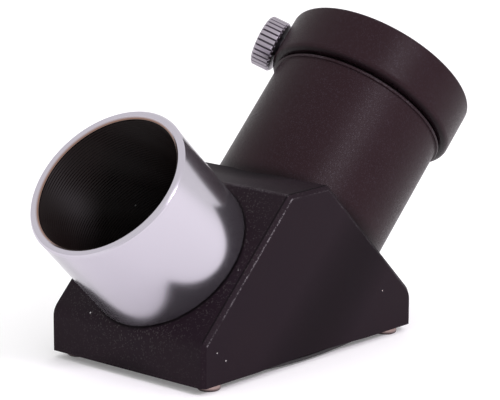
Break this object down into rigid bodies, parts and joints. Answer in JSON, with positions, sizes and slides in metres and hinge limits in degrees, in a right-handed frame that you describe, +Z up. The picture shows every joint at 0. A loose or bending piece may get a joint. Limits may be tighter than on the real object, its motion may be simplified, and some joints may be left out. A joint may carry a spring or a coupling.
{
  "type": "star diagonal",
  "caption": "Ninety-degree mirror diagonal for a telescope: a chromed nosepiece and a black eyepiece tube with a clamping thumbscrew on a roof-shaped housing.",
  "frame": {"origin": "centre of the nosepiece's root, on the slanted face of the housing that a focuser comes to rest against", "axes": "+Z up as the diagonal stands on its base screws; +X along the base from the nosepiece towards the eyepiece tube; the tubes' axes lie in the XZ plane, and +Y is the side that the thumbscrew leans to"},
  "size_m": [0.1016, 0.0414, 0.0608],
  "materials": {
    "housing_plastic": "moulded black plastic, fine grain, softly worn edges",
    "nosepiece_chrome": "satin-polished chrome outside, matt black inside",
    "tube_black": "bead-blasted and anodised matt black",
    "mirror_glass": "front-surface aluminised glass",
    "plate_black": "black painted sheet",
    "pad_foam": "black foam",
    "base_screw_nickel": "nickel plated",
    "thumbscrew_plating": "bright plated, turned"
  },
  "bodies": {
    "root": {"housing": "housing_plastic", "nosepiece": "nosepiece_chrome", "eyepiece_barrel": "tube_black", "eyepiece_collar": "tube_black", "mirror": "mirror_glass", "base_plate": "plate_black", "mirror_pad_1": "pad_foam", "base_screw_1": "base_screw_nickel", "mirror_pad_2": "pad_foam", "base_screw_2": "base_screw_nickel", "mirror_pad_3": "pad_foam", "base_screw_3": "base_screw_nickel", "mirror_pad_4": "pad_foam", "base_screw_4": "base_screw_nickel"},
    "thumbscrew_stud": {"thumbscrew_stud": "thumbscrew_plating"},
    "thumbscrew_knob": {"thumbscrew_knob": "thumbscrew_plating"}
  },
  "joints": [
    {"name": "thumbscrew_travel", "type": "slide", "parent": "root", "child": "thumbscrew_stud", "axis": [-0.3851, 0.8387, 0.3851], "range_m": [-0.00021, 0.0028]},
    {"name": "thumbscrew_turn", "type": "hinge", "parent": "thumbscrew_stud", "child": "thumbscrew_knob", "pos_m": [0.05699, 0, 0.02234], "axis": [-0.3851, 0.8387, 0.3851], "range_deg": [-108, 1440]}
  ],
  "couplings": [
    {"joint": "thumbscrew_turn", "follows": "thumbscrew_travel", "rad_per_m": 8976}
  ]
}
